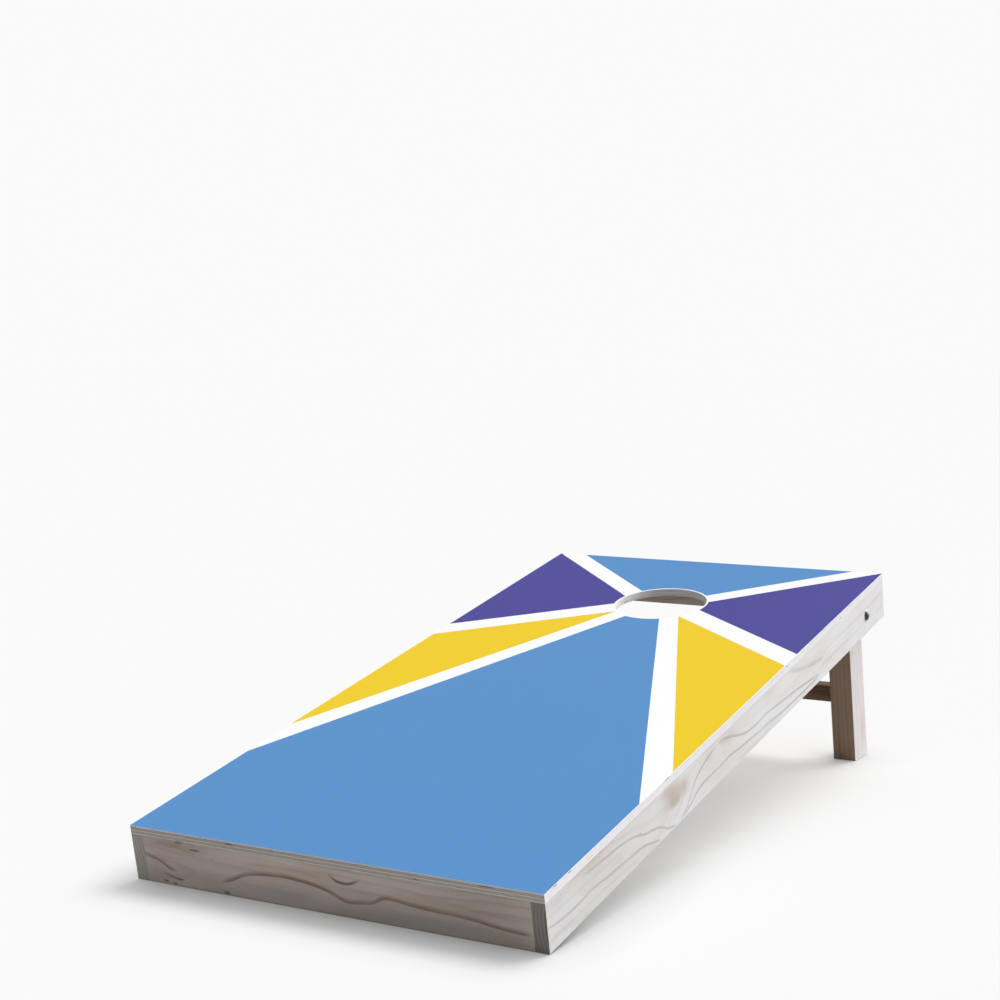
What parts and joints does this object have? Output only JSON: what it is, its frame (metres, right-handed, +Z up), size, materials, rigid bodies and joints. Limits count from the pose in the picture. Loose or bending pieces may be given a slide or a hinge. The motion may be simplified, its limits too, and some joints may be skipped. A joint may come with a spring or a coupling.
{
  "type": "cornhole board",
  "caption": "Tilted bag-toss board with a round hole, a wood frame and fold-under legs joined by a brace and locked by wing nuts.",
  "frame": {"origin": "on the floor, under the middle of the bounding box, board standing in its playing position", "axes": "+X to the thrower's right across the board, +Y from the low front end to the high rear end, +Z up"},
  "size_m": [0.6184, 1.2108, 0.3112],
  "materials": {
    "printed_laminate": "satin printed film in flat colour panels",
    "plywood": "sanded plywood, whitewashed edges",
    "whitewashed_pine": "thin white wash, grain showing",
    "zinc_steel": "bright zinc plate",
    "screw_steel": "dull zinc plate"
  },
  "bodies": {
    "board": {"deck_panel": "plywood", "deck_wrap": "printed_laminate", "side_rail_left": "whitewashed_pine", "side_rail_right": "whitewashed_pine", "front_rail": "whitewashed_pine", "rear_rail": "whitewashed_pine", "center_brace": "whitewashed_pine", "deck_pocket_screws": "screw_steel", "frame_pocket_screws": "screw_steel", "pivot_bolt_left": "zinc_steel", "pivot_bolt_right": "zinc_steel", "spacer_washer_left": "zinc_steel", "spacer_washer_right": "zinc_steel"},
    "leg_frame": {"leg_left": "whitewashed_pine", "leg_right": "whitewashed_pine", "leg_brace": "whitewashed_pine", "leg_brace_screws": "screw_steel"},
    "clamp_washer_left": {"flat_washer_left": "zinc_steel"},
    "clamp_washer_right": {"flat_washer_right": "zinc_steel"},
    "wing_nut_left": {"wing_nut_left": "zinc_steel"},
    "wing_nut_right": {"wing_nut_right": "zinc_steel"}
  },
  "joints": [
    {"name": "leg_fold", "type": "hinge", "parent": "board", "child": "leg_frame", "pos_m": [0, 0.51212, 0.24995], "axis": [-1, 0, 0], "range_deg": [0, 90]},
    {"name": "wing_nut_left_travel", "type": "slide", "parent": "board", "child": "clamp_washer_left", "axis": [1, 0, 0], "range_m": [0, 0.0057]},
    {"name": "wing_nut_left_turn", "type": "hinge", "parent": "clamp_washer_left", "child": "wing_nut_left", "pos_m": [-0.244, 0.51212, 0.24995], "axis": [1, 0, 0], "range_deg": [0, 1440]},
    {"name": "wing_nut_right_travel", "type": "slide", "parent": "board", "child": "clamp_washer_right", "axis": [-1, 0, 0], "range_m": [0, 0.0057]},
    {"name": "wing_nut_right_turn", "type": "hinge", "parent": "clamp_washer_right", "child": "wing_nut_right", "pos_m": [0.244, 0.51212, 0.24995], "axis": [-1, 0, 0], "range_deg": [0, 1440]}
  ],
  "couplings": [
    {"joint": "wing_nut_left_travel", "follows": "wing_nut_left_turn", "m_per_rad": 0.00022458},
    {"joint": "wing_nut_right_travel", "follows": "wing_nut_right_turn", "m_per_rad": 0.00022458}
  ]
}
